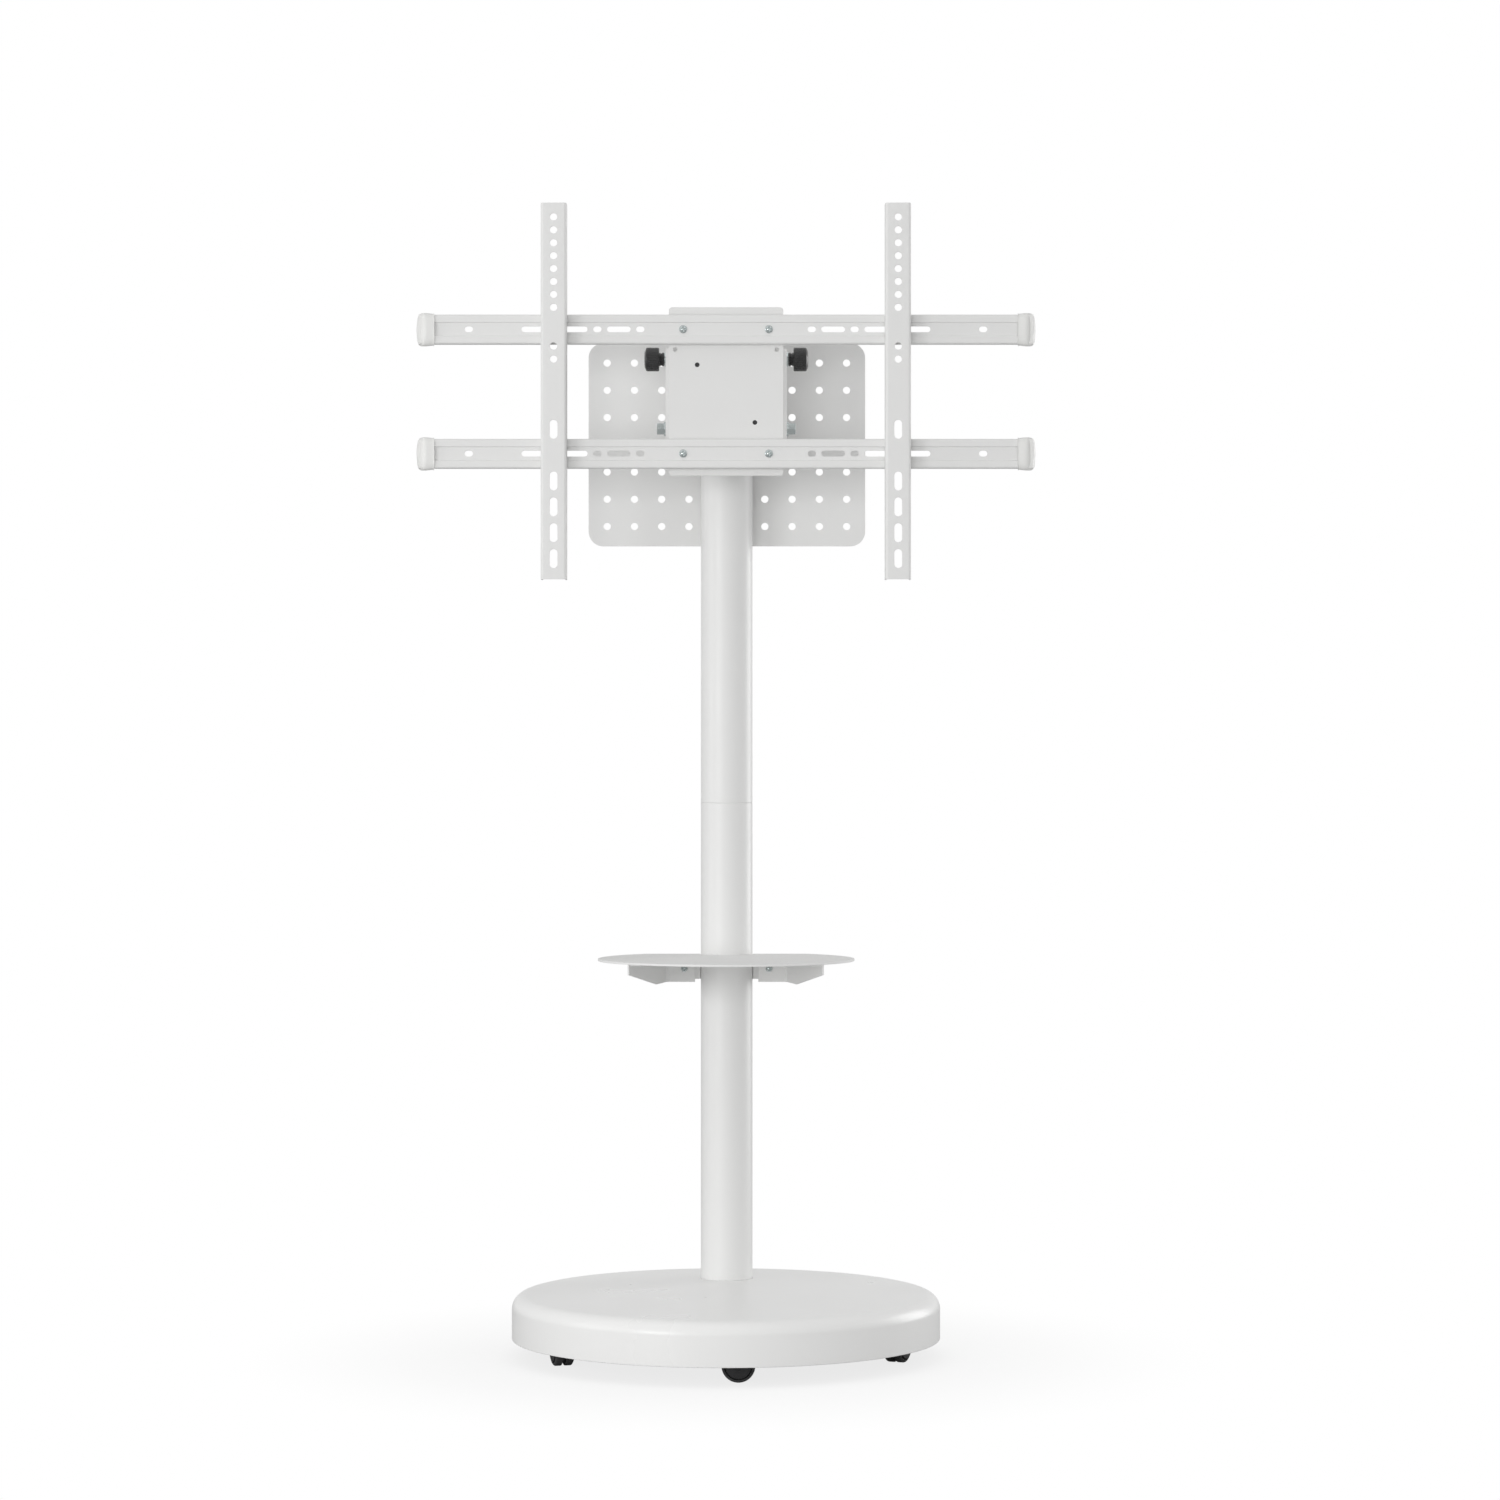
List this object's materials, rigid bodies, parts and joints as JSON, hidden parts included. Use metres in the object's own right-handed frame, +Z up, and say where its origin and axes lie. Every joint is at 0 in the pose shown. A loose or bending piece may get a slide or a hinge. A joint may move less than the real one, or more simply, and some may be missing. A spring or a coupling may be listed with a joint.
{
  "type": "tv stand with mount",
  "caption": "Rolling television stand with a round weighted base, a pole, a clamp-on shelf, a perforated equipment plate and a tilting, rotating screen mount.",
  "frame": {"origin": "on the floor, under the centre of the round base and of the whole part's box", "axes": "+Z up the pole; -Y to the front, where the screen hangs; +X to the right as seen from the front"},
  "size_m": [0.7274, 0.5, 1.3435],
  "materials": {
    "base_enamel": "satin",
    "pole_enamel": "satin",
    "frame_powder": "fine powder coat",
    "shelf_powder": "fine powder coat",
    "cap_plastic": "fine matte",
    "knob_plastic": "fine matte",
    "wheel_tyre": "matte",
    "caster_nylon": "matte",
    "zinc": "zinc plated",
    "dark_steel": "oiled"
  },
  "bodies": {
    "stand": {"base_shell": "base_enamel", "base_plate": "dark_steel", "pole_foot": "dark_steel", "foot_bolt": "zinc", "pole_lower": "pole_enamel", "pole_upper": "pole_enamel", "pole_joiner": "dark_steel", "pole_cap": "cap_plastic", "equipment_plate": "shelf_powder", "equipment_saddle": "knob_plastic", "equipment_screw_upper": "zinc", "equipment_screw_lower": "zinc", "pole_bracket": "frame_powder", "bracket_bolt_upper": "zinc", "bracket_bolt_lower": "zinc", "pivot_bolt_left": "zinc", "pivot_bolt_right": "zinc"},
    "shelf": {"shelf_plate": "shelf_powder", "shelf_wing_left": "shelf_powder", "shelf_wing_right": "shelf_powder", "shelf_clamp": "shelf_powder", "shelf_screw_left": "zinc", "shelf_screw_right": "zinc"},
    "tilt_head": {"tilt_yoke": "frame_powder", "clamp_bolt_left": "zinc", "clamp_bolt_right": "zinc", "knob_washer_left": "dark_steel", "knob_washer_right": "dark_steel", "friction_washer": "caster_nylon"},
    "knob_left": {"knob_left": "knob_plastic"},
    "knob_right": {"knob_right": "knob_plastic"},
    "mount_frame": {"rotator_hub": "dark_steel", "rotator_nut": "zinc", "mount_plate": "frame_powder", "rail_upper": "frame_powder", "rail_lower": "frame_powder", "end_cap_upper_left": "cap_plastic", "end_cap_upper_right": "cap_plastic", "end_cap_lower_left": "cap_plastic", "end_cap_lower_right": "cap_plastic", "rail_screw_upper_left": "zinc", "rail_screw_upper_right": "zinc", "rail_screw_lower_left": "zinc", "rail_screw_lower_right": "zinc"},
    "arm_left": {"arm_left": "frame_powder", "arm_bolt_upper_left": "zinc", "arm_bolt_lower_left": "zinc"},
    "arm_right": {"arm_right": "frame_powder", "arm_bolt_upper_right": "zinc", "arm_bolt_lower_right": "zinc"},
    "caster_front": {"caster_front_fork": "caster_nylon"},
    "wheels_front": {"caster_front_wheels": "wheel_tyre"},
    "caster_right": {"caster_right_fork": "caster_nylon"},
    "wheels_right": {"caster_right_wheels": "wheel_tyre"},
    "caster_rear_right": {"caster_rear_right_fork": "caster_nylon"},
    "wheels_rear_right": {"caster_rear_right_wheels": "wheel_tyre"},
    "caster_rear_left": {"caster_rear_left_fork": "caster_nylon"},
    "wheels_rear_left": {"caster_rear_left_wheels": "wheel_tyre"},
    "caster_left": {"caster_left_fork": "caster_nylon"},
    "wheels_left": {"caster_left_wheels": "wheel_tyre"}
  },
  "joints": [
    {"name": "shelf_slide", "type": "slide", "parent": "stand", "child": "shelf", "axis": [0, 0, 1], "range_m": [-0.3, 0.17]},
    {"name": "head_tilt", "type": "hinge", "parent": "stand", "child": "tilt_head", "pos_m": [0, 0.062, 1.0882], "axis": [1, 0, 0], "range_deg": [-12, 12]},
    {"name": "frame_turn", "type": "hinge", "parent": "tilt_head", "child": "mount_frame", "pos_m": [0, 0.0045, 1.125], "axis": [0, 1, 0], "range_deg": [0, 90]},
    {"name": "knob_left_turn", "type": "hinge", "parent": "tilt_head", "child": "knob_left", "pos_m": [-0.085, 0.062, 1.1705], "axis": [-1, 0, 0], "range_deg": [0, 360]},
    {"name": "knob_right_turn", "type": "hinge", "parent": "tilt_head", "child": "knob_right", "pos_m": [0.085, 0.062, 1.1705], "axis": [1, 0, 0], "range_deg": [0, 360]},
    {"name": "arm_left_slide", "type": "slide", "parent": "mount_frame", "child": "arm_left", "axis": [1, 0, 0], "range_m": [-0.034, 0.034]},
    {"name": "arm_right_slide", "type": "slide", "parent": "mount_frame", "child": "arm_right", "axis": [1, 0, 0], "range_m": [-0.034, 0.034]},
    {"name": "caster_front_swivel", "type": "hinge", "parent": "stand", "child": "caster_front", "pos_m": [0, -0.202, 0.05], "axis": [0, 0, 1], "continuous": true},
    {"name": "caster_front_roll", "type": "hinge", "parent": "caster_front", "child": "wheels_front", "pos_m": [0.015, -0.202, 0.019], "axis": [0, 1, 0], "continuous": true},
    {"name": "caster_right_swivel", "type": "hinge", "parent": "stand", "child": "caster_right", "pos_m": [0.19211, -0.06242, 0.05], "axis": [0, 0, 1], "continuous": true},
    {"name": "caster_right_roll", "type": "hinge", "parent": "caster_right", "child": "wheels_right", "pos_m": [0.19845, -0.04883, 0.019], "axis": [-0.9063, 0.4226, 0], "continuous": true},
    {"name": "caster_rear_right_swivel", "type": "hinge", "parent": "stand", "child": "caster_rear_right", "pos_m": [0.11873, 0.16342, 0.05], "axis": [0, 0, 1], "continuous": true},
    {"name": "caster_rear_right_roll", "type": "hinge", "parent": "caster_rear_right", "child": "wheels_rear_right", "pos_m": [0.11013, 0.17571, 0.019], "axis": [-0.8192, -0.5736, 0], "continuous": true},
    {"name": "caster_rear_left_swivel", "type": "hinge", "parent": "stand", "child": "caster_rear_left", "pos_m": [-0.11873, 0.16342, 0.05], "axis": [0, 0, 1], "continuous": true},
    {"name": "caster_rear_left_roll", "type": "hinge", "parent": "caster_rear_left", "child": "wheels_rear_left", "pos_m": [-0.12837, 0.15193, 0.019], "axis": [0.766, -0.6428, 0], "continuous": true},
    {"name": "caster_left_swivel", "type": "hinge", "parent": "stand", "child": "caster_left", "pos_m": [-0.19211, -0.06242, 0.05], "axis": [0, 0, 1], "continuous": true},
    {"name": "caster_left_roll", "type": "hinge", "parent": "caster_left", "child": "wheels_left", "pos_m": [-0.18823, -0.07691, 0.019], "axis": [0.9659, 0.2588, 0], "continuous": true}
  ]
}
